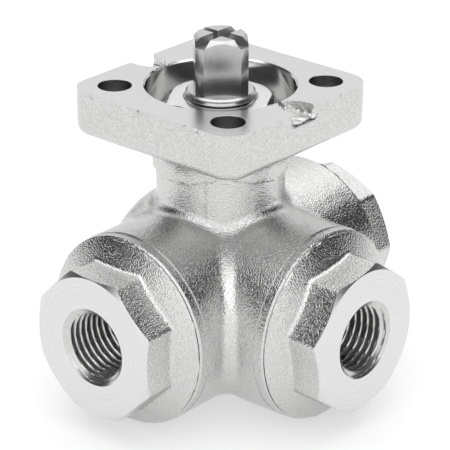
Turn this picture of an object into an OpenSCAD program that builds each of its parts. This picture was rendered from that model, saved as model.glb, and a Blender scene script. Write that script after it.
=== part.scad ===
// Compact three way ball valve with a direct mounting pad for an actuator.
// Three threaded ports lie in one plane: two opposite each other on the run and one branch.
// Origin: centre of the pad's top face, on the stem axis. +Z up the stem, +X along the run, -Y at the branch.
// All sizes are in millimetres.

/* [Mounting pad] */
// Side of the square pad
pad_w = 37; // [36:0.5:40]
// Thickness of the pad
pad_t = 8.2; // [8:0.1:9]
// Radius of the pad's corners
pad_corner_r = 4.2; // [2:0.1:5]
// Pitch circle of the four mounting holes
bolt_pcd = 36; // [35:0.5:37]
// Diameter of a mounting hole
bolt_hole_d = 5.8; // [5.2:0.1:6.2]
// Diameter of the centring recess
recess_d = 25.8; // [25:0.1:26.5]
// Depth of the centring recess
recess_depth = 7; // [6.8:0.1:7.4]
// Width of a relief slot at its inner end
slot_w_in = 4.4; // [3:0.1:5]
// Width of a relief slot at the pad's edge
slot_w_out = 6; // [5:0.1:8]
// Depth of a relief slot
slot_depth = 2; // [1.5:0.1:3.5]

/* [Body] */
// Height of the pad's face above the plane of the ports
axis_drop = 38; // [38:0.1:40]
// Distance from the stem axis to a port's face
face_reach = 32.5; // [32:0.1:36]
// Diameter of the round barrels
barrel_d = 34.1; // [33.5:0.1:35]
// Reach of a barrel, from the stem axis to the joint with its end cap
joint_reach = 24; // [23.8:0.1:24.4]
// Reach of the closed side
blank_reach = 17; // [16.6:0.1:20]
// Radius of the closed side's rounded edge
blank_edge_r = 8; // [4:0.5:9]
// Diameter of the neck
neck_d = 22.4; // [22:0.1:24]
// Radius of the fillet between pad and neck
neck_fillet_r = 4.6; // [2:0.1:5]

/* [End caps] */
// Width across the flats of a cap's octagon
octagon_af = 25; // [24:0.5:27]
// Distance from the stem axis to the foot of the octagon
octagon_foot = 26.3; // [26:0.1:27]
// Diameter of a cap's rim
rim_d = 33; // [32:0.1:33.5]
// Minor diameter of the G 1/4 pipe thread
thread_minor_d = 11.445; // [11.4:0.005:11.9]
// Diameter of the chamfered mouth of the thread
mouth_d = 13.7; // [13.2:0.1:14.2]
// Length of the thread with its chamfer
thread_len = 12.5; // [11:0.5:13]
// Turn of the left cap about its port, in degrees
cap_turn_left = 0; // [0:0.5:45]
// Turn of the branch cap about its port, in degrees
cap_turn_branch = 9; // [0:0.5:45]
// Turn of the right cap about its port, in degrees
cap_turn_right = 21; // [0:0.5:45]

/* [Ball and seats] */
// Diameter of the ball
ball_d = 23; // [22.8:0.1:23]
// Diameter of the flow passages
flow_d = 10.5; // [8:0.1:10.6]

/* [Stem and gland] */
// Diameter of the round stem
stem_d = 12; // [11.6:0.1:12]
// Width across the flats of the stem's square
square_af = 9; // [8.5:0.1:9.5]
// Diameter over the square's rounded corners
square_corner_d = 11; // [10:0.1:11.4]
// Height of the stem above the pad's face
stem_top = 9; // [7:0.5:12]
// Width of the direction grooves in the stem's top
groove_w = 2.2; // [1:0.1:2.6]
// Width of the narrow groove towards the blank side
narrow_groove_w = 1.2; // [0.8:0.1:2.2]
// Width across the flats of the gland nut
nut_af = 17; // [16:0.5:18]
// Depth of the gland nut's top below the pad's face
nut_drop = 2.2; // [1.5:0.1:2.4]

/* [Hidden] */
$fn = 96;

// Clearances: between parts that turn on each other, and between parts that are only assembled
run_gap = 0.05;
fit_gap = 0.03;
// Overshoot of a cut past the face it opens
over = 1;

// Directions in which the three ports and the closed side point, as turns about the stem axis
turn_left = 180;
turn_right = 0;
turn_branch = -90;
turn_blank = 90;

// Pad
bolt_xy = bolt_pcd / 2 / sqrt(2);
hole_chamfer = 0.25;
edge_chamfer = 0.3;

// Body cavity and port bores
ball_r = ball_d / 2;
cavity_r = ball_r + 0.8;
cap_bore_r = 12;
seal_bore_r = 13.6;
seal_seat_reach = 22;

// Caps
cap_nose_reach = 12.4;
seat_floor_reach = 13.8;
rim_land = 0.2;
dome_foot_r = 12.2;
dome_steps = 10;
octagon_corner_r = 0.9;
octagon_face_r = 12.4;
mouth_chamfer = (mouth_d - thread_minor_d) / 2;

// Seats
seat_r = 9;
seat_nose_reach = 8.3;
seat_nose_r = 8.2;
seat_bore_r = 5.6;

// Stem, from its top down
square_base = -0.9;
square_chamfer = 1.4;
groove_depth = 1.4;
collar_chamfer = 0.3;
stem_r = stem_d / 2;
web_bore_r = stem_r + run_gap;
shoulder_r = 7.4;
chamber_r = 7.7;
o_ring_z = -18.75;
o_ring_section_r = 0.45;
o_ring_centre_r = 5.57;
o_ring_groove_h = 1.2;
shoulder_bottom = -24.8;
tang_bottom = -30.4;
tang_w = 4.8;
tang_len = 12;
slot_gap = 0.05;

// Gland stack, from the nut down
nut_top = -nut_drop;
nut_h = 4.2;
nut_face_r = 8.75;
spring_t = 0.8;
spring_cone = 0.45;
spring_outer_r = 8;
box_r = 8.2;
box_floor = -17;
web_bottom = -20.5;
washer_t = 0.8;
washer_outer_r = 7.6;
ring_base_h = 1.1;
ring_t = 1.3;
ring_v = 0.8;
ring_top_h = 2;
nut_bottom = nut_top - nut_h;
spring_h = spring_t + spring_cone;
spring_mid = nut_bottom - spring_h;
spring_bottom = spring_mid - spring_h;
ring_lower_z = box_floor + ring_base_h;
ring_upper_z = ring_lower_z + ring_t;
ring_top_z = ring_upper_z + ring_t;
follower_bottom = ring_top_z + ring_top_h;
follower_top = spring_bottom - run_gap;
packing_inner_r = stem_r + run_gap;
packing_outer_r = box_r - fit_gap;
packing_mid_r = (packing_inner_r + packing_outer_r) / 2;

// Moves a shape drawn along +Z from the ball's centre onto a port's axis.
module at_port(turn) {
    translate([0, 0, -axis_drop])
        rotate([0, 0, turn])
            rotate([0, 90, 0])
                children();
}

// A ring between two radii and two heights.
module ring(inner_r, outer_r, low, high) {
    translate([0, 0, low])
        difference() {
            cylinder(r = outer_r, h = high - low);
            translate([0, 0, -over])
                cylinder(r = inner_r, h = high - low + 2 * over);
        }
}

// Square plate with round corners, from z = -t up to 0.
module round_square_plate(w, t, r) {
    flat = w - 2 * r;
    translate([-w / 2, -flat / 2, -t])
        cube([w, flat, t]);
    translate([-flat / 2, -w / 2, -t])
        cube([flat, w, t]);
    for (x = [-flat / 2, flat / 2], y = [-flat / 2, flat / 2])
        translate([x, y, -t])
            cylinder(r = r, h = t);
}

// Quarter-round fillet that joins the pad's underside to the neck.
module neck_fillet() {
    r = neck_fillet_r;
    translate([0, 0, -pad_t])
        rotate_extrude()
            difference() {
                translate([neck_d / 2 - fit_gap, -r])
                    square([r + fit_gap, r]);
                translate([neck_d / 2 + r, -r])
                    circle(r = r);
            }
}

// The closed side: a barrel with a flat end and a round edge.
module blank_barrel() {
    at_port(turn_blank) {
        cylinder(d = barrel_d, h = blank_reach - blank_edge_r);
        cylinder(r = barrel_d / 2 - blank_edge_r, h = blank_reach);
        translate([0, 0, blank_reach - blank_edge_r])
            rotate_extrude()
                translate([barrel_d / 2 - blank_edge_r, 0])
                    intersection() {
                        circle(r = blank_edge_r);
                        square(blank_edge_r);
                    }
    }
}

// Barrel for an end cap, with a small chamfer at its open end.
module port_barrel(turn) {
    at_port(turn) {
        cylinder(d = barrel_d, h = joint_reach - edge_chamfer);
        cylinder(d = barrel_d - 2 * edge_chamfer, h = joint_reach);
    }
}

// Everything that an end cap, its seal and the flow need out of a barrel.
module port_bore(turn) {
    at_port(turn) {
        cylinder(r = cap_bore_r, h = joint_reach + over);
        translate([0, 0, seal_seat_reach])
            cylinder(r = seal_bore_r, h = joint_reach);
    }
}

// Chamfered through hole for an actuator bolt.
module bolt_hole() {
    translate([0, 0, -pad_t - over])
        cylinder(d = bolt_hole_d, h = pad_t + 2 * over);
    translate([0, 0, -hole_chamfer])
        cylinder(r1 = bolt_hole_d / 2, r2 = bolt_hole_d / 2 + 2 * hole_chamfer, h = 2 * hole_chamfer);
}

// Relief slot from the recess out through the pad's edge, at -Y.
module relief_slot() {
    inner = recess_d / 2 - 2 * over;
    outer = pad_w / 2 + over;
    translate([0, 0, -slot_depth])
        linear_extrude(height = slot_depth + over)
            polygon([[-slot_w_in / 2, -inner], [slot_w_in / 2, -inner],
                     [slot_w_out / 2, -outer], [-slot_w_out / 2, -outer]]);
}

// Recess, packing box, stem bore and shoulder chamber, all on the stem axis.
module stem_cuts() {
    translate([0, 0, -recess_depth])
        cylinder(d = recess_d, h = recess_depth + over);
    translate([0, 0, box_floor])
        cylinder(r = box_r, h = -box_floor);
    translate([0, 0, -axis_drop])
        cylinder(r = web_bore_r, h = axis_drop);
    translate([0, 0, -axis_drop])
        cylinder(r = chamber_r, h = axis_drop + web_bottom);
}

module body() {
    color("silver")
        difference() {
            union() {
                round_square_plate(pad_w, pad_t, pad_corner_r);
                neck_fillet();
                translate([0, 0, -axis_drop + cap_bore_r])
                    cylinder(d = neck_d, h = axis_drop - cap_bore_r - pad_t + fit_gap);
                blank_barrel();
                for (turn = [turn_left, turn_right, turn_branch])
                    port_barrel(turn);
            }
            for (x = [-bolt_xy, bolt_xy], y = [-bolt_xy, bolt_xy])
                translate([x, y, 0])
                    bolt_hole();
            for (turn = [0, 180])
                rotate([0, 0, turn])
                    relief_slot();
            stem_cuts();
            translate([0, 0, -axis_drop])
                sphere(r = cavity_r);
            for (turn = [turn_left, turn_right, turn_branch])
                port_bore(turn);
            at_port(turn_blank)
                cylinder(r = seat_r + fit_gap, h = seat_floor_reach);
        }
}

// Octagonal prism with a flat on top and narrow corner flats in place of sharp edges.
module octagon_prism(low, high) {
    translate([0, 0, low])
        intersection() {
            rotate([0, 0, 22.5])
                cylinder(d = octagon_af / cos(22.5), h = high - low, $fn = 8);
            cylinder(r = octagon_af / 2 / cos(22.5) - octagon_corner_r / 4, h = high - low);
            cylinder(r1 = octagon_face_r + (high - low) / tan(30), r2 = octagon_face_r, h = high - low);
        }
}

// Outline of the domed shoulder, from the cap's joint face out to the foot of the octagon.
function dome_points() =
    [for (i = [0 : dome_steps])
        let (a = i * 90 / dome_steps, rise = octagon_foot - joint_reach - rim_land + 0.2)
            [dome_foot_r + (rim_d / 2 - dome_foot_r) * cos(a), joint_reach + rim_land + rise * sin(a)]];

module end_cap(turn, cap_turn) {
    color("gainsboro")
        at_port(turn)
            difference() {
                union() {
                    translate([0, 0, cap_nose_reach])
                        cylinder(r = cap_bore_r - fit_gap, h = joint_reach - cap_nose_reach + over);
                    rotate_extrude()
                        polygon(concat([[0, joint_reach], [rim_d / 2, joint_reach]], dome_points(),
                                       [[0, dome_points()[dome_steps][1]]]));
                    rotate([0, 0, cap_turn])
                        octagon_prism(joint_reach + over, face_reach);
                }
                translate([0, 0, cap_nose_reach - over])
                    cylinder(d = flow_d, h = face_reach);
                translate([0, 0, face_reach - thread_len])
                    cylinder(d = thread_minor_d, h = thread_len + over);
                translate([0, 0, face_reach - mouth_chamfer])
                    cylinder(r1 = thread_minor_d / 2, r2 = mouth_d / 2 + mouth_chamfer, h = 2 * mouth_chamfer);
                translate([0, 0, cap_nose_reach - over])
                    cylinder(r = seat_r + fit_gap, h = seat_floor_reach - cap_nose_reach + over);
            }
}

module end_cap_left() {
    end_cap(turn_left, cap_turn_left);
}

module end_cap_right() {
    end_cap(turn_right, cap_turn_right);
}

module end_cap_branch() {
    end_cap(turn_branch, cap_turn_branch);
}

// Flat sealing ring between an end cap and the body.
module cap_seal(turn) {
    color("white")
        at_port(turn)
            ring(cap_bore_r, seal_bore_r - fit_gap, seal_seat_reach, joint_reach - fit_gap);
}

// Seat ring whose concave face follows the ball.
module seat(turn) {
    color("ivory")
        at_port(turn)
            difference() {
                rotate_extrude()
                    polygon([[seat_bore_r, seat_nose_reach], [seat_nose_r, seat_nose_reach],
                             [seat_r, seat_nose_reach + seat_r - seat_nose_r],
                             [seat_r, seat_floor_reach], [seat_bore_r, seat_floor_reach]]);
                sphere(r = ball_r + fit_gap);
            }
}

// Ball with a T-shaped passage, open to both ends of the run and to the branch.
module ball() {
    color("lightgray")
        translate([0, 0, -axis_drop])
            difference() {
                sphere(d = ball_d);
                rotate([0, 90, 0])
                    cylinder(d = flow_d, h = 2 * ball_d, center = true);
                rotate([90, 0, 0])
                    cylinder(d = flow_d, h = ball_d);
                translate([-ball_d, -tang_w / 2 - slot_gap, axis_drop + tang_bottom - slot_gap])
                    cube([2 * ball_d, tang_w + 2 * slot_gap, ball_d]);
            }
}

// Grooves in the stem's top: a wide one over each passage of the ball, a narrow one over its blank side.
module direction_grooves() {
    reach = square_corner_d;
    translate([-reach, -groove_w / 2, stem_top - groove_depth])
        cube([2 * reach, groove_w, groove_depth + over]);
    translate([-groove_w / 2, -reach, stem_top - groove_depth])
        cube([groove_w, reach, groove_depth + over]);
    translate([-narrow_groove_w / 2, 0, stem_top - groove_depth])
        cube([narrow_groove_w, reach, groove_depth + over]);
}

// Square drive end with turned corners and a turned chamfer on top.
module stem_square() {
    corner_r = square_corner_d / 2;
    intersection() {
        rotate([0, 0, 45])
            translate([-square_af / 2, -square_af / 2, square_base - over])
                cube([square_af, square_af, stem_top - square_base + over]);
        rotate_extrude()
            polygon([[0, square_base - over], [corner_r, square_base - over],
                     [corner_r, stem_top - square_chamfer], [corner_r - square_chamfer, stem_top],
                     [0, stem_top]]);
    }
}

module stem() {
    shoulder_top = web_bottom - washer_t - run_gap;
    color("darkgray")
        difference() {
            union() {
                stem_square();
                rotate_extrude()
                    polygon([[0, shoulder_top - over], [stem_r, shoulder_top - over],
                             [stem_r, square_base - collar_chamfer],
                             [stem_r - collar_chamfer, square_base], [0, square_base]]);
                translate([0, 0, shoulder_bottom])
                    cylinder(r = shoulder_r, h = shoulder_top - shoulder_bottom);
                translate([-tang_len / 2, -tang_w / 2, tang_bottom])
                    cube([tang_len, tang_w, shoulder_bottom - tang_bottom + over]);
            }
            direction_grooves();
            ring(o_ring_centre_r - o_ring_section_r, stem_r + over,
                 o_ring_z - o_ring_groove_h / 2, o_ring_z + o_ring_groove_h / 2);
        }
}

module thrust_washer() {
    color("white")
        ring(web_bore_r, washer_outer_r, web_bottom - washer_t, web_bottom);
}

module stem_o_ring() {
    color("black")
        translate([0, 0, o_ring_z])
            rotate_extrude()
                translate([o_ring_centre_r, 0])
                    circle(r = o_ring_section_r);
}

// Packing ring with its own lower and upper outline: v_low and v_high are the rise at mid-width.
module packing_ring(low, high, v_low, v_high) {
    color("white")
        rotate_extrude()
            polygon([[packing_inner_r, low], [packing_mid_r, low + v_low], [packing_outer_r, low],
                     [packing_outer_r, high], [packing_mid_r, high + v_high], [packing_inner_r, high]]);
}

module packing_base_ring() {
    packing_ring(box_floor, ring_lower_z, 0, ring_v);
}

module packing_v_ring_lower() {
    packing_ring(ring_lower_z, ring_upper_z, ring_v, ring_v);
}

module packing_v_ring_upper() {
    packing_ring(ring_upper_z, ring_top_z, ring_v, ring_v);
}

module packing_top_ring() {
    packing_ring(ring_top_z, follower_bottom, ring_v, 0);
}

module gland_follower() {
    color("gray")
        ring(packing_inner_r, packing_outer_r, follower_bottom, follower_top);
}

// Cone-shaped spring washer. Its outer edge is at the bottom when cup is 1, at the top when it is 0.
module disc_spring(low, cup) {
    inner = stem_r + fit_gap;
    rise_in = cup * spring_cone;
    rise_out = (1 - cup) * spring_cone;
    color("dimgray")
        rotate_extrude()
            polygon([[inner, low + rise_in], [spring_outer_r, low + rise_out],
                     [spring_outer_r, low + rise_out + spring_t], [inner, low + rise_in + spring_t]]);
}

module disc_spring_lower() {
    disc_spring(spring_bottom, 0);
}

module disc_spring_upper() {
    disc_spring(spring_mid, 1);
}

// Hexagon nut with chamfered corners, on the stem's thread.
module gland_nut() {
    corner_r = nut_af / 2 / cos(30);
    chamfer_h = (corner_r - nut_face_r) * tan(30);
    color("lightgray")
        difference() {
            intersection() {
                translate([0, 0, nut_bottom])
                    rotate([0, 0, 30])
                        cylinder(r = corner_r, h = nut_h, $fn = 6);
                rotate_extrude()
                    polygon([[0, nut_bottom], [corner_r, nut_bottom], [corner_r, nut_top - chamfer_h],
                             [nut_face_r, nut_top], [0, nut_top]]);
            }
            translate([0, 0, nut_bottom - over])
                cylinder(r = stem_r + fit_gap, h = nut_h + 2 * over);
        }
}

body();
end_cap_left();
end_cap_right();
end_cap_branch();
cap_seal(turn_left);  // cap_seal_left
cap_seal(turn_right);  // cap_seal_right
cap_seal(turn_branch);  // cap_seal_branch
seat(turn_left);  // seat_left
seat(turn_right);  // seat_right
seat(turn_branch);  // seat_branch
seat(turn_blank);  // seat_blank
ball();
stem();
thrust_washer();
stem_o_ring();
packing_base_ring();
packing_v_ring_lower();
packing_v_ring_upper();
packing_top_ring();
gland_follower();
disc_spring_lower();
disc_spring_upper();
gland_nut();
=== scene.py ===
"""Looks of the three way valve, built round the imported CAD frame.

Shapes are worked out in millimetres in the row frame, and become metres when a mesh is made.
The origin is the centre of the mounting pad's top face; the ports lie in a plane AXIS_DROP below it.
A port's reach is the distance from the stem's axis along the port's own axis.
"""
import math

import bpy
import numpy as np
from mathutils import Matrix, Vector


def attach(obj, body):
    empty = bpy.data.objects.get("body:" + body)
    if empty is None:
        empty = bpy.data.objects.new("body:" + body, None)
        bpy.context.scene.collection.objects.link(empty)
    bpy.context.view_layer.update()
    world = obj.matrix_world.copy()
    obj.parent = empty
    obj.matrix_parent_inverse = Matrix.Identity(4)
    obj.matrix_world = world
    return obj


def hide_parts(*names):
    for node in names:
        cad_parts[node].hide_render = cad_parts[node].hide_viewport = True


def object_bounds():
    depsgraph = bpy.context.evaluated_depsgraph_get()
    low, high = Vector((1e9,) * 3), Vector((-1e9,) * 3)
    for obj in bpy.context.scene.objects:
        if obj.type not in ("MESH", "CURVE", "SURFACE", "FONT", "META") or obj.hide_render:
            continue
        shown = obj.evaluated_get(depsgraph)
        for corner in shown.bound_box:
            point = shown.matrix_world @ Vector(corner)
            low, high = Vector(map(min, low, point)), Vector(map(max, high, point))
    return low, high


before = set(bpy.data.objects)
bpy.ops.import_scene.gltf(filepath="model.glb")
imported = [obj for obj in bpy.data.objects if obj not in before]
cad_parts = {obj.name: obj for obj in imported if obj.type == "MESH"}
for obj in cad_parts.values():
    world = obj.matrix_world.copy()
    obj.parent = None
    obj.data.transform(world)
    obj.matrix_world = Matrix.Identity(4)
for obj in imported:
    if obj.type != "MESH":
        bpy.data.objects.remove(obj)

cad_low, cad_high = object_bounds()

MM = 0.001

# How far cutting tools run past the face they cut
OVERCUT = 0.05

# Slope of the 30 degree chamfers on the octagons and on the nut
CHAMFER_SLOPE = math.tan(math.radians(30))

# Mounting pad
PAD_HALF = 18.5
PAD_T = 8.2
PAD_CORNER_R = 4.2
PAD_EDGE_R = 1.7
PAD_STOCK = 1.5
BOLT_XY = 36 / 2 / math.sqrt(2)
BOLT_R = 2.9
BOLT_CHAMFER = 0.06
SPOT_FACE_R = 6.85
SPOT_FACE_EDGE = 0.45
SPOT_FACE_DEPTH = 0.1
SPOT_FACE_BOTTOM = -14
RECESS_R = 12.9
RECESS_DEPTH = 7.0
RECESS_CORNER_R = 0.7
RECESS_CHAMFER = 0.3
SLOT_HALF_IN = 2.2
SLOT_HALF_OUT = 2.9
SLOT_INNER = 10
SLOT_DEPTH = 2.0
SLOT_DIP = 0.5
SLOT_DIP_START = 0.8
SLOT_FLOOR_R = 0.5
SLOT_EDGE_R = 0.7

# Nicks along the pad's top edges: the wear above this level bites, down to about this depth
NICK_LEVEL = 0.32
NICK_HEIGHT = 0.5

# Barrels and the rounded blank side
AXIS_DROP = 38.0
BARREL_R = 17.03
BARREL_STOCK = 1
BAND_R = 16.86
BAND_REACH = 22.1
BAND_CHAMFER = 0.3
JOINT_REACH = 24.0
BLANK_REACH = 17.0
BLANK_EDGE_R = 8.0

# Valley between the barrels: its fillet grows down from the neck, and fades at the bottom
VALLEY_R_TOP = 1.2
VALLEY_R = 2.2
VALLEY_TOP = -24
VALLEY_GROWTH = 8
VALLEY_FADE = 6.0
VALLEY_LEAST = 0.05

# Neck, with the seam left by the mould at an angle about the stem axis
NECK_R = 11.2
NECK_BOTTOM = -30
FOOT_R = 1.8
FLARE_R = 4.6
SEAM_ANGLE = math.radians(209.6)
SEAM_STEP = 0.16
SEAM_RIDGE = 0.08
SEAM_WIDTH = 0.3

# Collar round the top of the neck, which ends this part of a quarter turn from each port's direction
COLLAR_R = 12.1
COLLAR_BOTTOM = -14.5
COLLAR_RISE = 0.8
COLLAR_SPREAD = 0.3
COLLAR_EDGE_R = 0.4

# Bores in the casting
FOOT_BORE_R = 7.7
SHOULDER_Z = -20.5
SHAFT_BORE_R = 6.05
PACKING_Z = -17
PACKING_R = 8.2
PACKING_TOP = -7.3
PACKING_MOUTH_R = 8.5
CAVITY_R = 12.3
CAP_BORE_R = 12.0
SEAL_BORE_R = 13.6
SEAL_FLOOR_REACH = 22
SEAT_FLOOR_REACH = 13.8
SEAT_POCKET_R = 9.03

# End caps
FACE_REACH = 32.5
FACE_R = 12.4
FACE_RINGS = (11.5, 10.0, 8.4)
CAP_NOSE_REACH = 12.4
SPIGOT_R = 11.97
RIM_R = 16.6
RIM_NOISE = 0.045
JOINT_GROOVE_DEPTH = 0.5
OCTAGON_AF = 25.0
OCTAGON_EDGE_R = 1.3
OCTAGON_FILLET = 0.55
OCTAGON_FILLET_RISE = 0.6
DOME_R = 30.0
DOME_START = 24.3
FLOW_R = 5.25

# G 1/4 thread and its mouth
MOUTH_R = 6.85
MOUTH_CHAMFER = 0.05
MOUTH_SLOPE = 1.5
THREAD_MINOR_R = 5.7225
THREAD_MAJOR_R = 6.5785
THREAD_PITCH = 1.337
THREAD_START = 20.0
THREAD_END = FACE_REACH - 0.12
THREAD_RINGS_PER_PITCH = 15

# Stem
STEM_R = 6.0
TONGUE_HALF_X = 6
TONGUE_HALF_Y = 2.4
TONGUE_BOTTOM = -30.4
STEM_FOOT = -24.8
STEM_FOOT_R = 7.4
STEM_FOOT_TOP = -21.35
O_RING_GROOVE_R = 5.1
O_RING_GROOVE = (-19.35, -18.15)
STEM_THREAD = (-7.0, -1.4)
STEM_THREAD_PITCH = 1.0
STEM_THREAD_DEPTH = 0.28
SQUARE_AF = 9.0
SQUARE_CORNER_R = 5.5
SQUARE_BASE = -0.9
SQUARE_CHAMFER = 1.4
STEM_TOP = 9.0
GROOVE_HALF = 1.1
NARROW_GROOVE_HALF = 0.6
GROOVE_DEPTH = 1.4
CENTRE_DRILL_R = 1.3

# Gland nut
NUT_AF = 17.0
NUT_EDGE_R = 0.25
NUT_TOP = -2.2
NUT_BOTTOM = -6.4
NUT_FACE_R = 8.75
NUT_BORE_R = STEM_R + 0.03

# Turns about the stem axis at which the ports point, and the caps' own turns, in degrees
PORTS = {"left": (180, 0), "branch": (-90, 9), "right": (0, 21)}
BLANK_TURN = 90

rng = np.random.default_rng(7)


# ---------------------------------------------------------------- camera, light and floor

# Camera that matches the photo, with its distance and aim in metres
CAMERA_AZIMUTH = math.radians(49.036)
CAMERA_ELEVATION = math.radians(24.103)
CAMERA_ROLL = math.radians(0.234)
CAMERA_DISTANCE = 0.40235
CAMERA_AIM = Vector((0.00055, -0.00064, -0.02641))


def add_camera():
    """Camera that stands where the photo was taken from."""
    back = Vector((-math.sin(CAMERA_AZIMUTH) * math.cos(CAMERA_ELEVATION),
                   -math.cos(CAMERA_AZIMUTH) * math.cos(CAMERA_ELEVATION),
                   math.sin(CAMERA_ELEVATION)))
    data = bpy.data.cameras.new("camera")
    data.sensor_width = 36
    data.lens = 184.2
    data.clip_start = 0.01
    data.clip_end = 20
    camera = bpy.data.objects.new("camera", data)
    turn = back.to_track_quat("Z", "Y").to_matrix() @ Matrix.Rotation(CAMERA_ROLL, 3, "Z")
    camera.matrix_world = Matrix.Translation(CAMERA_AIM + back * CAMERA_DISTANCE) @ turn.to_4x4()
    bpy.context.scene.collection.objects.link(camera)
    bpy.context.scene.camera = camera


class Nodes:
    """Short helper for building a node tree."""

    def __init__(self, tree):
        self.tree = tree
        tree.nodes.clear()

    def add(self, kind, **settings):
        node = self.tree.nodes.new(kind)
        for key, value in settings.items():
            setattr(node, key, value)
        return node

    def link(self, a, b):
        self.tree.links.new(a, b)

    def put(self, socket, value):
        """Links another node's output to the socket, or sets the socket's constant."""
        if hasattr(value, "is_output"):
            self.link(value, socket)
        else:
            socket.default_value = value

    def math(self, operation, a, b=0.0, c=0.0):
        node = self.add("ShaderNodeMath", operation=operation)
        for socket, value in zip(node.inputs, (a, b, c)):
            self.put(socket, value)
        return node.outputs[0]

    def smooth(self, value, low, high):
        """0 where value is at low, 1 where it is at high, eased in between."""
        node = self.add("ShaderNodeMapRange", interpolation_type="SMOOTHSTEP")
        self.put(node.inputs["Value"], value)
        node.inputs["From Min"].default_value = low
        node.inputs["From Max"].default_value = high
        return node.outputs["Result"]

    def blend(self, factor, a, b):
        """a where factor is 0, b where it is 1."""
        return self.math("MULTIPLY_ADD", factor, self.math("SUBTRACT", b, a), a)

    def noise(self, vector, scale, detail=2.0, rough=0.5, dimensions="3D"):
        node = self.add("ShaderNodeTexNoise", noise_dimensions=dimensions)
        self.put(node.inputs["W" if dimensions == "1D" else "Vector"], vector)
        node.inputs["Scale"].default_value = scale
        node.inputs["Detail"].default_value = detail
        node.inputs["Roughness"].default_value = rough
        return node.outputs["Fac"]


# Brightness of the tent, as the metal mirrors it
WALL_LIGHT = 1.1
FRONT_LIGHT = 1.24
OVERHEAD_LIGHT = 1.75
LOW_BACK_LIGHT = 0.7
FLAG_LIGHT = 0.07


def add_world():
    """White tent round the table: brightest overhead, greyer low at the back, a dark flag at each side.

    Its front is where the photo was taken from.
    """
    world = bpy.data.worlds.new("studio")
    bpy.context.scene.world = world
    world.use_nodes = True
    n = Nodes(world.node_tree)
    split = n.add("ShaderNodeSeparateXYZ")
    n.link(n.add("ShaderNodeTexCoord").outputs["Generated"], split.inputs[0])
    x, y, up = split.outputs
    sin_a, cos_a = math.sin(CAMERA_AZIMUTH), math.cos(CAMERA_AZIMUTH)
    across = n.math("SUBTRACT", n.math("MULTIPLY", x, cos_a), n.math("MULTIPLY", y, sin_a))
    side = n.math("ABSOLUTE", across)
    behind = n.math("ADD", n.math("MULTIPLY", x, sin_a), n.math("MULTIPLY", y, cos_a))
    front = n.math("MULTIPLY", n.smooth(behind, -0.1, -0.5), n.smooth(up, 0.0, 0.15))
    overhead = n.smooth(up, 0.5, 0.85)
    low_back = n.math("MULTIPLY", n.smooth(behind, 0.4, 0.7), n.smooth(up, 0.36, 0.2))
    sides = n.math("MULTIPLY", n.smooth(side, 0.59, 0.68), n.smooth(up, 0.0, 0.06))
    flags = n.math("MULTIPLY", sides, n.smooth(behind, -0.6, -0.4))
    light = n.blend(front, WALL_LIGHT, FRONT_LIGHT)
    light = n.blend(overhead, light, OVERHEAD_LIGHT)
    light = n.blend(low_back, light, LOW_BACK_LIGHT)
    light = n.blend(flags, light, FLAG_LIGHT)
    background = n.add("ShaderNodeBackground")
    n.link(light, background.inputs["Strength"])
    background.inputs["Color"].default_value = (1, 1, 1, 1)
    n.link(background.outputs[0], n.add("ShaderNodeOutputWorld").inputs["Surface"])


# The floor's half width and its gap below the CAD, in metres
FLOOR_HALF = 3.0
FLOOR_GAP = 0.00005


def add_floor():
    """Matt floor that glows a little, so that it stays as white as the photo's empty background."""
    mesh = bpy.data.meshes.new("floor")
    corners = ((-1, -1), (1, -1), (1, 1), (-1, 1))
    points = [(FLOOR_HALF * x, FLOOR_HALF * y, cad_low[2] - FLOOR_GAP) for x, y in corners]
    mesh.from_pydata(points, [], [(0, 1, 2, 3)])
    floor = bpy.data.objects.new("floor", mesh)
    bpy.context.scene.collection.objects.link(floor)
    material = bpy.data.materials.new("floor")
    material.use_nodes = True
    shader = material.node_tree.nodes["Principled BSDF"]
    shader.inputs["Base Color"].default_value = (0.41, 0.41, 0.41, 1)
    shader.inputs["Emission Color"].default_value = (1, 1, 1, 1)
    shader.inputs["Emission Strength"].default_value = 0.52
    shader.inputs["Roughness"].default_value = 0.9
    shader.inputs["Specular IOR Level"].default_value = 0.1
    mesh.materials.append(material)


def add_lights():
    """Soft overhead light that gives the floor its shadow. The metal mirrors only the tent."""
    data = bpy.data.lights.new("overhead", "SUN")
    data.energy = 0.6
    data.angle = math.radians(100)
    sun = bpy.data.objects.new("overhead", data)
    sun.rotation_euler = (math.radians(12), math.radians(-8), 0)
    sun.visible_glossy = False
    bpy.context.scene.collection.objects.link(sun)


# ---------------------------------------------------------------- materials

def textured(name, metallic, build):
    """Material whose colour, roughness and bump are set by build(n, shader)."""
    material = bpy.data.materials.new(name)
    material.use_nodes = True
    n = Nodes(material.node_tree)
    shader = n.add("ShaderNodeBsdfPrincipled")
    shader.inputs["Metallic"].default_value = metallic
    n.link(shader.outputs[0], n.add("ShaderNodeOutputMaterial").inputs["Surface"])
    build(n, shader)
    return material


def steel(level):
    """Colour of bare steel: a grey that is a trace warm."""
    return (level, level, level - 0.005)


def object_coords(n):
    return n.add("ShaderNodeTexCoord").outputs["Object"]


def add_bump(n, shader, height, strength, distance):
    """Bump over any bump that the shader has already."""
    bump = n.add("ShaderNodeBump")
    bump.inputs["Strength"].default_value = strength
    bump.inputs["Distance"].default_value = distance
    n.link(height, bump.inputs["Height"])
    previous = shader.inputs["Normal"].links
    if previous:
        n.link(previous[0].from_socket, bump.inputs["Normal"])
    n.link(bump.outputs[0], shader.inputs["Normal"])


def tint(n, shader, factor, dark, light):
    """Base colour between two colours."""
    mix = n.add("ShaderNodeMix", data_type="RGBA")
    n.link(factor, mix.inputs["Factor"])
    mix.inputs["A"].default_value = (*dark, 1)
    mix.inputs["B"].default_value = (*light, 1)
    n.link(mix.outputs["Result"], shader.inputs["Base Color"])


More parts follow.
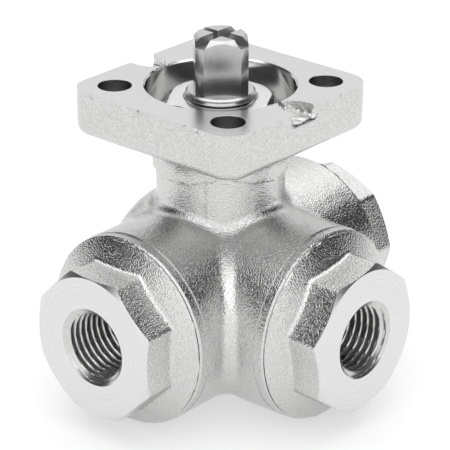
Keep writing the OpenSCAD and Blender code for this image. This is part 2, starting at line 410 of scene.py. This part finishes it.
def blasted(n, shader):
    """Shot-blasted casting: fine sharp grain that glitters, over a slightly uneven skin."""
    at = object_coords(n)
    grain = n.noise(at, scale=3700, detail=1.0)
    waves = n.noise(at, scale=160)
    tint(n, shader, n.smooth(grain, 0.3, 0.7), steel(0.56), steel(0.68))
    n.link(n.blend(n.smooth(waves, 0.35, 0.65), 0.12, 0.18), shader.inputs["Roughness"])
    add_bump(n, shader, waves, strength=0.1, distance=0.0006)
    add_bump(n, shader, grain, strength=1.0, distance=0.00011)


def radial(n, axis):
    """Distance from the z axis or, for a port's face, from the x or y axis in the port plane."""
    shift = n.add("ShaderNodeVectorMath", operation="ADD")
    n.link(object_coords(n), shift.inputs[0])
    shift.inputs[1].default_value = (0, 0, 0 if axis == "z" else AXIS_DROP * MM)
    flatten = n.add("ShaderNodeVectorMath", operation="MULTIPLY")
    n.link(shift.outputs[0], flatten.inputs[0])
    flatten.inputs[1].default_value = [0.0 if axis == name else 1.0 for name in "xyz"]
    size = n.add("ShaderNodeVectorMath", operation="LENGTH")
    n.link(flatten.outputs[0], size.inputs[0])
    return size.outputs["Value"]


def turned(axis, roughness, depth, grey=0.71):
    """Lathe-turned face: fine rings about the axis, with a little cloudiness."""
    def build(n, shader):
        rings = n.noise(radial(n, axis), scale=5200, rough=0.6, dimensions="1D")
        cloud = n.noise(object_coords(n), scale=220, detail=3.0)
        n.link(n.blend(cloud, *roughness), shader.inputs["Roughness"])
        tint(n, shader, n.smooth(rings, 0.2, 0.8), [grey * 0.93] * 3, [grey * 1.07] * 3)
        add_bump(n, shader, rings, strength=depth, distance=0.00002)
    return build


def threaded(n, shader):
    """Cut thread: smooth flanks with faint chatter."""
    chatter = n.noise(object_coords(n), scale=900)
    n.link(n.blend(chatter, 0.2, 0.28), shader.inputs["Roughness"])
    tint(n, shader, chatter, steel(0.55), steel(0.66))


def bored(n, shader):
    """Polished bore: circumferential lines that vary with depth."""
    split = n.add("ShaderNodeSeparateXYZ")
    n.link(object_coords(n), split.inputs[0])
    lines = n.noise(split.outputs["Z"], scale=9000, detail=1.0, dimensions="1D")
    shader.inputs["Roughness"].default_value = 0.12
    tint(n, shader, lines, steel(0.62), steel(0.74))
    add_bump(n, shader, lines, strength=0.15, distance=0.00001)


def milled(n, shader):
    """Milled stem: soft blotches and short upright streaks."""
    at = object_coords(n)
    stretch = n.add("ShaderNodeVectorMath", operation="MULTIPLY")
    n.link(at, stretch.inputs[0])
    stretch.inputs[1].default_value = (1, 1, 0.15)
    streaks = n.noise(stretch.outputs[0], scale=3000)
    blotch = n.noise(at, scale=450, detail=3.0, rough=0.6)
    tint(n, shader, blotch, [0.45] * 3, steel(0.60))
    n.link(n.blend(streaks, 0.17, 0.25), shader.inputs["Roughness"])
    add_bump(n, shader, streaks, strength=0.08, distance=0.00003)
    add_bump(n, shader, blotch, strength=0.12, distance=0.0001)


def moulded(color, roughness):
    """Machined fluoropolymer or rubber, with a faint mottle."""
    def build(n, shader):
        shader.inputs["Roughness"].default_value = roughness
        mottle = n.noise(object_coords(n), scale=800, detail=3.0, rough=0.6)
        tint(n, shader, mottle, [c * 0.88 for c in color], color)
        add_bump(n, shader, mottle, strength=0.2, distance=0.00003)
    return build


CAST = textured("cast_steel", 1, blasted)
PAD_FACE = textured("turned_pad", 1, turned("z", (0.20, 0.30), 0.25, grey=0.63))
FACE_X = textured("turned_face_x", 1, turned("x", (0.20, 0.32), 0.08))
FACE_Y = textured("turned_face_y", 1, turned("y", (0.20, 0.32), 0.08))
BORE = textured("polished_bore", 1, bored)
# Bolt hole walls: a darker grey than the pad face, as painted shade inside the holes
HOLE_SHADE = textured("hole_painted_shade", 1, turned("z", (0.2, 0.35), 0.3, grey=0.42))
THREAD = textured("thread_steel", 1, threaded)
STEM = textured("stem_steel", 1, milled)
# Groove walls and floors in the stem's top: a darker grey than the stem, as painted shade in the grooves
GROOVE_SHADE = textured("groove_painted_shade", 1, turned("z", (0.35, 0.45), 0.1, grey=0.4))
NUT = textured("nut_steel", 1, turned("z", (0.2, 0.3), 0.2))
SPRING = textured("spring_steel", 1, turned("z", (0.28, 0.36), 0.1))
BALL = textured("polished_ball", 1, turned("z", (0.06, 0.1), 0.02))
PTFE = textured("ptfe", 0, moulded((0.86, 0.86, 0.84), 0.4))
SEAT = textured("seat_ptfe", 0, moulded((0.78, 0.74, 0.66), 0.45))
RUBBER = textured("elastomer", 0, moulded((0.03, 0.03, 0.03), 0.55))


# ---------------------------------------------------------------- mesh tools

def mesh_object(name, points, faces, materials=(), face_slots=None):
    """New object from points in millimetres."""
    mesh = bpy.data.meshes.new(name)
    mesh.from_pydata((np.asarray(points, float) * MM).tolist(), [], [list(map(int, f)) for f in faces])
    for material in materials:
        mesh.materials.append(material)
    if face_slots is not None:
        mesh.polygons.foreach_set("material_index", np.asarray(face_slots, np.int32))
    obj = bpy.data.objects.new(name, mesh)
    bpy.context.scene.collection.objects.link(obj)
    return obj


def smooth_by_angle(obj, degrees):
    obj.data.shade_smooth()
    obj.data.set_sharp_from_angle(angle=math.radians(degrees))


def boolean(target, tool, operation="DIFFERENCE"):
    """Applies a boolean and removes the tool."""
    modifier = target.modifiers.new("boolean", "BOOLEAN")
    modifier.operation = operation
    modifier.solver = "MANIFOLD"
    modifier.object = tool
    shape = bpy.data.meshes.new_from_object(target.evaluated_get(bpy.context.evaluated_depsgraph_get()))
    target.modifiers.clear()
    old = target.data
    target.data = shape
    bpy.data.meshes.remove(old)
    old = tool.data
    bpy.data.objects.remove(tool)
    bpy.data.meshes.remove(old)


def port_matrix(turn):
    """From a port's own frame, with the port's axis along +Z, to the row frame, in millimetres."""
    return (Matrix.Translation((0, 0, -AXIS_DROP)) @ Matrix.Rotation(math.radians(turn), 4, "Z")
            @ Matrix.Rotation(math.radians(90), 4, "Y"))


def moved(points, matrix):
    m = np.array(matrix)
    return np.asarray(points) @ m[:3, :3].T + m[:3, 3]


def lathe(name, profile, matrix=Matrix.Identity(4), segments=160):
    """Solid of revolution from (radius, height) points that start and end on the axis, upwards."""
    angle = np.linspace(0, 2 * math.pi, segments, endpoint=False)
    (_, low), *rings, (_, high) = profile
    points = [(0, 0, low), (0, 0, high)]
    for r, h in rings:
        points += [(r * math.cos(a), r * math.sin(a), h) for a in angle]
    faces = []
    for j in range(segments):
        k = (j + 1) % segments
        faces.append((0, 2 + k, 2 + j))
        last = 2 + (len(rings) - 1) * segments
        faces.append((1, last + j, last + k))
        for i in range(len(rings) - 1):
            a = 2 + i * segments
            faces.append((a + j, a + k, a + segments + k, a + segments + j))
    return mesh_object(name, moved(points, matrix), faces)


def box_tool(name, low, high, turn=0):
    """Box turned about the stem axis, in degrees."""
    (a, b, c), (d, e, f) = low, high
    points = [(a, b, c), (d, b, c), (d, e, c), (a, e, c), (a, b, f), (d, b, f), (d, e, f), (a, e, f)]
    faces = [(3, 2, 1, 0), (4, 5, 6, 7), (0, 1, 5, 4), (1, 2, 6, 5), (2, 3, 7, 6), (3, 0, 4, 7)]
    return mesh_object(name, moved(points, Matrix.Rotation(math.radians(turn), 4, "Z")), faces)


def surface_net(name, field, low, high, step):
    """Mesh of the surface where field(x, y, z) is zero, with its points moved onto that surface.

    Each grid edge that the surface crosses gives one face, between points in the four cells round it.
    """
    axes = [np.arange(a, b + step, step) for a, b in zip(low, high)]
    value = field(*np.meshgrid(*axes, indexing="ij"))
    cells = np.array(value.shape) - 1
    total = int(cells.prod())
    sums = np.zeros((3, total))
    count = np.zeros(total)
    quads = []
    for axis in range(3):
        first = np.delete(np.arange(3), axis)
        a = np.take(value, range(value.shape[axis] - 1), axis)
        b = np.take(value, range(1, value.shape[axis]), axis)
        at = np.argwhere((a < 0) != (b < 0))
        va, vb = a[tuple(at.T)], b[tuple(at.T)]
        crossing = at.astype(float)
        crossing[:, axis] += va / (va - vb)
        corners = []
        for du, dv in ((-1, -1), (0, -1), (0, 0), (-1, 0)):
            cell = at.copy()
            cell[:, first[0]] += du
            cell[:, first[1]] += dv
            index = np.ravel_multi_index(tuple(cell.T), tuple(cells))
            corners.append(index)
            count += np.bincount(index, minlength=total)
            for k in range(3):
                sums[k] += np.bincount(index, weights=crossing[:, k], minlength=total)
        quad = np.stack(corners, 1)
        flip = (va < 0) == (axis == 1)
        quad[flip] = quad[flip][:, ::-1]
        quads.append(quad)
    used = np.flatnonzero(count)
    number = np.full(total, -1)
    number[used] = np.arange(len(used))
    points = (sums[:, used] / count[used]).T * step + np.array(low)
    for _ in range(4):
        points -= newton_step(field, points, step)
    return mesh_object(name, points, number[np.concatenate(quads)])


def newton_step(field, points, limit, h=0.02):
    """What to take from each point to bring it to the surface along the field's slope, up to limit."""
    value = field(*points.T)
    slope = np.stack([field(*(points + d).T) - field(*(points - d).T) for d in np.eye(3) * h], 1) / (2 * h)
    move = value[:, None] * slope / np.maximum((slope ** 2).sum(1), 1e-3)[:, None]
    size = np.linalg.norm(move, axis=1, keepdims=True)
    return move * np.minimum(1, limit / np.maximum(size, 1e-9))


# ---------------------------------------------------------------- distance fields

def round_union(a, b, r):
    """Union of two distance fields with a fillet of radius r between them."""
    return np.maximum(r, np.minimum(a, b)) - np.hypot(np.maximum(r - a, 0), np.maximum(r - b, 0))


def round_box(dx, dy, r):
    """Distance to a corner with a rounded edge, where dx and dy are distances to its two faces."""
    u, v = dx + r, dy + r
    return np.minimum(np.maximum(u, v), 0) + np.hypot(np.maximum(u, 0), np.maximum(v, 0)) - r


def waviness(count, length, size):
    """A smooth random field made of sine waves about length long, size high."""
    k = rng.normal(size=(count, 3))
    spread = rng.uniform(0.7, 1.4, (count, 1))
    k *= 2 * math.pi / length / np.linalg.norm(k, axis=1, keepdims=True) * spread
    phase = rng.uniform(0, 2 * math.pi, count)

    def field(x, y, z):
        waves = sum(np.sin(a * x + b * y + c * z + p) for (a, b, c), p in zip(k, phase))
        return size * waves / math.sqrt(count)
    return field


cast_skin = waviness(9, 9.0, 0.035)
cast_ripple = waviness(12, 2.6, 0.012)
slot_rough = waviness(14, 1.3, 0.07)
edge_ripple = waviness(8, 2.2, 0.16)
edge_wear = waviness(12, 2.0, 0.35)


def neck_field(x, y, z):
    """Neck, which steps at the mould's seam and has a low ridge along it."""
    angle = np.arctan2(y, x) - SEAM_ANGLE
    across = np.arctan2(np.sin(angle), np.cos(angle)) * NECK_R
    step = SEAM_STEP * (0.5 + 0.5 * np.tanh(across / SEAM_WIDTH)) - SEAM_STEP / 2
    ridge = SEAM_RIDGE * np.exp(-(across / SEAM_WIDTH) ** 2)
    return np.maximum(np.hypot(x, y) - NECK_R - step - ridge, np.maximum(z, NECK_BOTTOM - z))


def collar_field(x, y, z):
    """Proud band at the top of the neck. Its ragged lower edge shows between the spot faces."""
    turn = np.arctan2(y, x) / (math.pi / 2)
    from_axis = np.abs(turn - np.round(turn)) / COLLAR_SPREAD
    bottom = COLLAR_BOTTOM + COLLAR_RISE * from_axis ** 2 + edge_ripple(x, y, 0 * z)
    # The ragged edge is steeper than a true distance, so it is scaled back
    return np.maximum(np.hypot(x, y) - COLLAR_R, np.maximum(z, bottom - z) * 0.9)


def slot_field(x, y, z):
    """The two relief slots: each widens and dips outwards, with a soft ragged floor."""
    out = (np.abs(y) - RECESS_R) / (PAD_HALF - RECESS_R)
    half = SLOT_HALF_IN + (SLOT_HALF_OUT - SLOT_HALF_IN) * np.clip(out, 0, 1.2)
    dip = SLOT_DIP * np.clip(out - SLOT_DIP_START, 0, 1)
    shape = round_box(np.abs(x) - half, -z - SLOT_DEPTH - dip, SLOT_FLOOR_R)
    return np.maximum(shape, SLOT_INNER - np.abs(y)) + slot_rough(x, y, z)


def pad_field(x, y, z):
    """Pad with rounded corners and lower edges, less the relief slots. Its top is left to be cut flat."""
    plan = round_box(np.abs(x) - PAD_HALF, np.abs(y) - PAD_HALF, PAD_CORNER_R)
    nicks = np.maximum(edge_wear(x, y, z) - NICK_LEVEL, 0) * np.exp(-(z / NICK_HEIGHT) ** 2)
    slab = np.maximum(round_box(plan, -z - PAD_T, PAD_EDGE_R) + nicks, z - PAD_STOCK)
    return -round_union(-slab, slot_field(x, y, z), SLOT_EDGE_R)


def barrels_field(x, y, z):
    """Run and branch barrels, which reach past the joints to be cut back, and the rounded blank side."""
    zc = z + AXIS_DROP
    run = np.maximum(np.hypot(y, zc) - BARREL_R, np.abs(x) - JOINT_REACH - BARREL_STOCK)
    across = np.hypot(x, zc) - BARREL_R
    blank = round_box(across, y - BLANK_REACH, BLANK_EDGE_R)
    side = np.where(y < 0, np.maximum(across, -y - JOINT_REACH - BARREL_STOCK), blank)
    valley = VALLEY_R_TOP + (VALLEY_R - VALLEY_R_TOP) * np.clip((VALLEY_TOP - z) / VALLEY_GROWTH, 0, 1)
    near_bottom = np.clip((zc + BARREL_R) / VALLEY_FADE, VALLEY_LEAST, 1)
    return round_union(run, side, valley * near_bottom)


def casting_field(x, y, z):
    """The whole casting before machining."""
    neck = round_union(neck_field(x, y, z), collar_field(x, y, z), COLLAR_EDGE_R)
    shape = round_union(barrels_field(x, y, z), neck, FOOT_R)
    shape = round_union(shape, pad_field(x, y, z), FLARE_R)
    return shape + cast_skin(x, y, z) + cast_ripple(x, y, z)


# ---------------------------------------------------------------- body

def cut_stem_bore(body):
    """Stepped bore for the stem and its packing, and the recess at its top."""
    profile = [(0, -AXIS_DROP), (FOOT_BORE_R, -AXIS_DROP), (FOOT_BORE_R, SHOULDER_Z),
               (SHAFT_BORE_R, SHOULDER_Z), (SHAFT_BORE_R, PACKING_Z), (PACKING_R, PACKING_Z),
               (PACKING_R, PACKING_TOP), (PACKING_MOUTH_R, -RECESS_DEPTH)]
    for a in np.radians((0, 30, 60, 90)):
        profile.append((RECESS_R - RECESS_CORNER_R * (1 - math.sin(a)),
                        -RECESS_DEPTH + RECESS_CORNER_R * (1 - math.cos(a))))
    mouth_r = RECESS_R + RECESS_CHAMFER + OVERCUT
    profile += [(RECESS_R, -RECESS_CHAMFER), (mouth_r, OVERCUT), (mouth_r, 2), (0, 2)]
    boolean(body, lathe("tool", profile, segments=256))


def cut_bolt_holes(body):
    """Bolt holes, each with a spot face that cuts the pad's underside and the neck."""
    seat = -PAD_T + SPOT_FACE_DEPTH
    mouth_r = BOLT_R + BOLT_CHAMFER
    profile = [(0, SPOT_FACE_BOTTOM), (SPOT_FACE_R, SPOT_FACE_BOTTOM),
               (SPOT_FACE_R, seat - SPOT_FACE_EDGE), (SPOT_FACE_R - SPOT_FACE_EDGE, seat),
               (mouth_r, seat), (BOLT_R, seat + BOLT_CHAMFER),
               (BOLT_R, -BOLT_CHAMFER), (mouth_r + OVERCUT, OVERCUT), (mouth_r + OVERCUT, 1), (0, 1)]
    for x in (-BOLT_XY, BOLT_XY):
        for y in (-BOLT_XY, BOLT_XY):
            boolean(body, lathe("tool", profile, Matrix.Translation((x, y, 0)), 96))


def machine_ports(body):
    """Turned band and bore at each port, the blank side's seat pocket, and last the ball's cavity.

    The bores and the pocket start inside the cavity, and the bands and bores run past the joints.
    """
    clear_r, clear_reach = 20, JOINT_REACH + 4
    band = [(0, JOINT_REACH), (BAND_R - BAND_CHAMFER, JOINT_REACH), (BAND_R, JOINT_REACH - BAND_CHAMFER),
            (BAND_R, BAND_REACH), (clear_r, BAND_REACH), (clear_r, clear_reach), (0, clear_reach)]
    start, end = 3, JOINT_REACH + 2
    bore = [(0, start), (CAP_BORE_R, start), (CAP_BORE_R, SEAL_FLOOR_REACH), (SEAL_BORE_R, SEAL_FLOOR_REACH),
            (SEAL_BORE_R, end), (0, end)]
    start = 5
    pocket = [(0, start), (SEAT_POCKET_R, start), (SEAT_POCKET_R, SEAT_FLOOR_REACH), (0, SEAT_FLOOR_REACH)]
    angles = np.linspace(-math.pi / 2, math.pi / 2, 49)[1:-1]
    cavity = [(CAVITY_R * math.cos(a), CAVITY_R * math.sin(a)) for a in angles]
    for turn, _ in PORTS.values():
        boolean(body, lathe("tool", band, port_matrix(turn), 256))
        boolean(body, lathe("tool", bore, port_matrix(turn), 192))
    boolean(body, lathe("tool", pocket, port_matrix(BLANK_TURN), 128))
    boolean(body, lathe("tool", [(0, -CAVITY_R), *cavity, (0, CAVITY_R)],
                        Matrix.Translation((0, 0, -AXIS_DROP)), 128))


BODY_MATERIALS = (CAST, PAD_FACE, BORE, FACE_X, FACE_Y, HOLE_SHADE)


def body_slots(obj):
    """Index in BODY_MATERIALS for each face, from where it is and which way it looks."""
    cast, pad, bore, face_x, face_y, hole_shade = range(len(BODY_MATERIALS))
    mesh = obj.data
    count = len(mesh.polygons)
    centre = np.zeros(count * 3)
    normal = np.zeros(count * 3)
    mesh.polygons.foreach_get("center", centre)
    mesh.polygons.foreach_get("normal", normal)
    x, y, z = centre.reshape(-1, 3).T / MM
    nx, ny, nz = normal.reshape(-1, 3).T
    zc = z + AXIS_DROP
    from_run, from_branch = np.hypot(y, zc), np.hypot(x, zc)
    from_bolt = np.hypot(np.abs(x) - BOLT_XY, np.abs(y) - BOLT_XY)
    bored_r = SEAL_BORE_R + 0.1

    slots = np.full(count, cast)
    slots[(z > -0.001) & (nz > 0.99)] = pad
    round_stem = (np.hypot(x, y) < RECESS_R + 0.4) & (z > SHOULDER_Z - 1.5) & (x * nx + y * ny < 0.02)
    in_slot = (np.abs(x) < SLOT_HALF_OUT + 0.1) & (np.abs(y) > RECESS_R - 0.6) & (z > -SLOT_DEPTH - 0.3)
    slots[round_stem & ~in_slot & (slots == cast)] = bore
    # Bolt hole walls take the darker material: painted shade inside the holes
    slots[(from_bolt < BOLT_R + 0.45) & (z > -PAD_T - 0.5) & (slots == cast)] = hole_shade
    slots[(np.abs(x) > BAND_REACH - 0.01) & (np.abs(nx) > 0.9) & (from_run > bored_r)] = face_x
    slots[(y < -BAND_REACH + 0.01) & (np.abs(ny) > 0.9) & (from_branch > bored_r)] = face_y
    inside = (from_run < bored_r) & (np.abs(x) < JOINT_REACH) & (from_branch < JOINT_REACH + 2)
    looks_in = x * nx + y * ny + zc * nz < 0
    slots[inside & looks_in & (slots == cast) & (z < -20)] = bore
    return slots


# Box round the raw casting, for its surface net
CASTING_LOW = (-26, -26, -57)
CASTING_HIGH = (26, 20, 4)


def make_body():
    """The casting with its raw skin, then machined: ports, pad face, stem bore and bolt holes."""
    step = 0.32
    body = surface_net("body_casting", casting_field, CASTING_LOW, CASTING_HIGH, step)
    machine_ports(body)
    boolean(body, box_tool("tool", (-30, -30, 0), (30, 30, 6)))
    cut_stem_bore(body)
    cut_bolt_holes(body)
    body.data.materials.clear()
    for material in BODY_MATERIALS:
        body.data.materials.append(material)
    body.data.polygons.foreach_set("material_index", body_slots(body).astype(np.int32))
    smooth_by_angle(body, 32)
    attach(body, "housing")
    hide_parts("body")


# ---------------------------------------------------------------- end caps

CAP_CAST, CAP_FACE, CAP_THREAD, CAP_BORE = range(4)


def prism_radius(angle, sides, af, edge_r):
    """Radius of a regular prism with rounded edges at each angle; a flat faces angle 0."""
    half = math.pi / sides
    a = af / 2
    phi = np.abs((angle + half) % (2 * half) - half)
    flat = a / np.cos(phi)
    reach = (a - edge_r) / math.cos(half)
    from_corner = half - phi
    edge_part = edge_r ** 2 - (reach * np.sin(from_corner)) ** 2
    edge = reach * np.cos(from_corner) + np.sqrt(np.maximum(edge_part, 0))
    limit = math.atan((a - edge_r) * math.tan(half) / a)
    return np.where(phi < limit, flat, edge)


def thread_radius(angle, u):
    """Inner radius of the right-handed pipe thread at one angle and depth."""
    phase = (u / THREAD_PITCH + angle / (2 * math.pi)) % 1.0
    wave = np.clip(1.3 * (np.abs(2 * phase - 1) - 0.5) + 0.5, 0, 1)
    wave = wave * wave * (3 - 2 * wave) * 0.35 + wave * 0.65
    return THREAD_MINOR_R + (THREAD_MAJOR_R - THREAD_MINOR_R) * wave


def uneven_rim(angle):
    """Small random waves round a cast rim."""
    counts = range(3, 40, 3)
    return sum(rng.normal(0, RIM_NOISE) * np.sin(k * angle + rng.uniform(0, 6.28)) for k in counts)


def dome_reach(r):
    """Reach of the cap's domed shoulder at radius r."""
    return DOME_START + np.sqrt(DOME_R ** 2 - r ** 2) - math.sqrt(DOME_R ** 2 - RIM_R ** 2)


def spigot_rows():
    """The cap's part inside the body, from the flow bore to the groove at the joint."""
    floor_r = RIM_R - JOINT_GROOVE_DEPTH
    return [(FLOW_R, SEAT_FLOOR_REACH, CAP_BORE), (SEAT_POCKET_R, SEAT_FLOOR_REACH, CAP_BORE),
            (SEAT_POCKET_R, CAP_NOSE_REACH, CAP_BORE), (SPIGOT_R, CAP_NOSE_REACH, CAP_BORE),
            (SPIGOT_R, JOINT_REACH, CAP_BORE), (floor_r, JOINT_REACH + 0.02, CAP_BORE),
            (floor_r + 0.05, JOINT_REACH + 0.2, CAP_BORE), (RIM_R - 0.05, DOME_START - 0.05, CAP_CAST)]


def shoulder_rows(octagon, rim):
    """Domed shoulder, and the fillet where it meets the octagon."""
    rows = []
    foot_r = octagon + OCTAGON_FILLET
    for t in np.linspace(0.02, 1, 12):
        r = RIM_R + rim * (1 - t) + (foot_r - RIM_R) * t
        rows.append((r, dome_reach(r), CAP_CAST))
    corner = dome_reach(octagon)
    for t in np.linspace(0.2, 1, 5):
        a, b, c = (1 - t) ** 2, 2 * t * (1 - t), t * t
        reach = a * dome_reach(foot_r) + b * corner + c * (corner + OCTAGON_FILLET_RISE)
        rows.append((a * foot_r + (b + c) * octagon, reach, CAP_CAST))
    return rows


def octagon_rows(octagon):
    """The octagon's flats, its chamfer and its turned face."""
    rows = []
    foot = dome_reach(octagon) + OCTAGON_FILLET_RISE
    crease = FACE_REACH - np.maximum(octagon - FACE_R, 0.02) * CHAMFER_SLOPE
    for t in np.linspace(0.1, 1, 8):
        rows.append((octagon, foot + (crease - foot) * t, CAP_CAST))
    face_r = np.minimum(octagon, FACE_R)
    rows.append(((octagon + face_r) / 2, (crease + FACE_REACH) / 2, CAP_FACE))
    for r in (face_r, *FACE_RINGS, MOUTH_R + 0.08):
        rows.append((r, FACE_REACH, CAP_FACE))
    return rows


def thread_rows(angle):
    """The port's mouth and thread, and the step down to the flow bore."""
    mouth = FACE_REACH - MOUTH_CHAMFER
    rows = [(MOUTH_R, mouth, CAP_THREAD)]
    for u in np.arange(THREAD_END, THREAD_START, -THREAD_PITCH / THREAD_RINGS_PER_PITCH):
        cone = MOUTH_R - MOUTH_SLOPE * (mouth - u)
        rows.append((np.maximum(thread_radius(angle, u), cone), u, CAP_THREAD))
    return rows + [(THREAD_MINOR_R, THREAD_START, CAP_THREAD), (FLOW_R, THREAD_START - 0.4, CAP_BORE)]


def ring_mesh(name, rows, angle, matrix, materials):
    """Closed mesh from rings, each a (radius, reach, material) with one value or one for each angle.

    The last ring joins the first. A row's material is that of the faces up to it.
    """
    n = len(angle)
    c, s, one = np.cos(angle), np.sin(angle), np.ones(n)
    points = np.concatenate([np.stack([r * c, r * s, u * one], 1) for r, u, _ in rows])
    faces = []
    slots = []
    for i in range(len(rows)):
        following = (i + 1) % len(rows)
        a, b = i * n, following * n
        for j in range(n):
            k = (j + 1) % n
            faces.append((a + j, a + k, b + k, b + j))
            slots.append(rows[following][2])
    return mesh_object(name, moved(points, matrix), faces, materials, slots)


def make_caps():
    """The three end caps, alike but for the turn of their octagons and their uneven rims."""
    angle = np.linspace(0, 2 * math.pi, 256, endpoint=False)
    for name, (turn, cap_turn) in PORTS.items():
        octagon = prism_radius(angle - math.radians(cap_turn), 8, OCTAGON_AF, OCTAGON_EDGE_R)
        rows = spigot_rows() + shoulder_rows(octagon, uneven_rim(angle)) + octagon_rows(octagon)
        face = FACE_Y if name == "branch" else FACE_X
        cap = ring_mesh(f"end_cap_{name}_detail", rows + thread_rows(angle), angle, port_matrix(turn),
                        (CAST, face, THREAD, BORE))
        smooth_by_angle(cap, 28)
        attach(cap, "housing")
        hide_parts(f"end_cap_{name}")


# ---------------------------------------------------------------- stem and nut

def stem_profile():
    """The round stem as (radius, height), from its foot to the start of the square."""
    groove_low, groove_high = O_RING_GROOVE
    thread_low, thread_high = STEM_THREAD
    profile = [(0, STEM_FOOT), (STEM_FOOT_R, STEM_FOOT), (STEM_FOOT_R, STEM_FOOT_TOP),
               (STEM_R, STEM_FOOT_TOP), (STEM_R, groove_low), (O_RING_GROOVE_R, groove_low),
               (O_RING_GROOVE_R, groove_high), (STEM_R, groove_high), (STEM_R, thread_low)]
    for z in np.arange(thread_low + 0.1, thread_high - 0.05, STEM_THREAD_PITCH / 8):
        phase = z / STEM_THREAD_PITCH % 1.0
        profile.append((STEM_R - STEM_THREAD_DEPTH * (1 - abs(2 * phase - 1)) ** 1.2, z))
    relief = STEM_R - 0.02
    return profile + [(relief, thread_high), (relief, SQUARE_BASE - 0.3), (STEM_R - 0.35, SQUARE_BASE),
                      (0, SQUARE_BASE)]


def drive_square():
    """Square drive end, with its corners turned round and its top chamfered."""
    top_r = SQUARE_CORNER_R - SQUARE_CHAMFER
    sunk = -3
    profile = [(0, sunk), (SQUARE_CORNER_R, sunk), (SQUARE_CORNER_R, STEM_TOP - SQUARE_CHAMFER),
               (top_r + 0.1, STEM_TOP - 0.1), (top_r - 0.05, STEM_TOP), (0, STEM_TOP)]
    square = lathe("tool", profile, segments=192)
    half = SQUARE_AF / 2
    flats = box_tool("tool2", (-half, -half, sunk - 1), (half, half, STEM_TOP + 3), 45)
    boolean(square, flats, "INTERSECT")
    return square


def cut_top_grooves(stem, floor):
    """Wide arms towards the three ports, a narrow one towards the blank side, and a centre drilling."""
    reach = 8
    above = STEM_TOP + 3
    boolean(stem, box_tool("tool", (-reach, -GROOVE_HALF, floor), (reach, GROOVE_HALF, above)))
    boolean(stem, box_tool("tool", (-GROOVE_HALF, -reach, floor), (GROOVE_HALF, 0, above)))
    boolean(stem, box_tool("tool", (-NARROW_GROOVE_HALF, -1, floor), (NARROW_GROOVE_HALF, reach, above)))
    centre = [(0, floor - 1), (CENTRE_DRILL_R, floor + 0.2), (CENTRE_DRILL_R, above), (0, above)]
    boolean(stem, lathe("tool", centre))


def make_stem():
    """Stem with its drive square, its tongue in the ball and the grooves in its top."""
    stem = lathe("stem_detail", stem_profile(), segments=192)
    boolean(stem, drive_square(), "UNION")
    tongue_top = STEM_FOOT + 0.8
    tongue = box_tool("tool", (-TONGUE_HALF_X, -TONGUE_HALF_Y, TONGUE_BOTTOM),
                      (TONGUE_HALF_X, TONGUE_HALF_Y, tongue_top))
    boolean(stem, tongue, "UNION")
    floor = STEM_TOP - GROOVE_DEPTH
    cut_top_grooves(stem, floor)
    stem.data.materials.clear()
    stem.data.materials.append(STEM)
    stem.data.materials.append(GROOVE_SHADE)
    # Faces inside the grooves take the darker material: painted shade
    for face in stem.data.polygons:
        x, y, z = face.center / MM
        in_groove = min(abs(x), abs(y)) < GROOVE_HALF + 0.02 and floor - 0.01 < z < STEM_TOP - 0.02
        face.material_index = 1 if in_groove else 0
    smooth_by_angle(stem, 25)
    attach(stem, "rotor")
    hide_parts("stem")


def make_nut():
    """Hexagon nut, chamfered at both ends and at both ends of its bore."""
    angle = np.linspace(0, 2 * math.pi, 192, endpoint=False)
    hexagon = prism_radius(angle, 6, NUT_AF, NUT_EDGE_R)
    face_r = np.minimum(hexagon, NUT_FACE_R)
    chamfer = np.maximum(hexagon - NUT_FACE_R, 0.02) * CHAMFER_SLOPE
    rows = [(NUT_BORE_R + 0.5, NUT_BOTTOM, 0), (face_r, NUT_BOTTOM, 0), (hexagon, NUT_BOTTOM + chamfer, 0),
            (hexagon, NUT_TOP - chamfer, 0), (face_r, NUT_TOP, 0), (NUT_BORE_R + 0.45, NUT_TOP, 0),
            (NUT_BORE_R, NUT_TOP - 0.45, 0), (NUT_BORE_R, NUT_BOTTOM + 0.5, 0)]
    nut = ring_mesh("gland_nut_detail", rows, angle, Matrix.Identity(4), (NUT,))
    smooth_by_angle(nut, 20)
    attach(nut, "rotor")
    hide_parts("gland_nut")


def finish_inner_parts():
    """The carried-over CAD nodes get their own materials."""
    looks = {"cap_seal": PTFE, "seat": SEAT, "ball": BALL, "thrust_washer": PTFE, "stem_o_ring": RUBBER,
             "packing": PTFE, "gland_follower": NUT, "disc_spring": SPRING}
    for name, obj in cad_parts.items():
        for start, material in looks.items():
            if name.startswith(start):
                obj.data.materials.clear()
                obj.data.materials.append(material)


add_camera()
add_world()
add_floor()
add_lights()
make_body()
make_caps()
make_stem()
make_nut()
finish_inner_parts()

bpy.context.scene.view_settings.view_transform = "Standard"
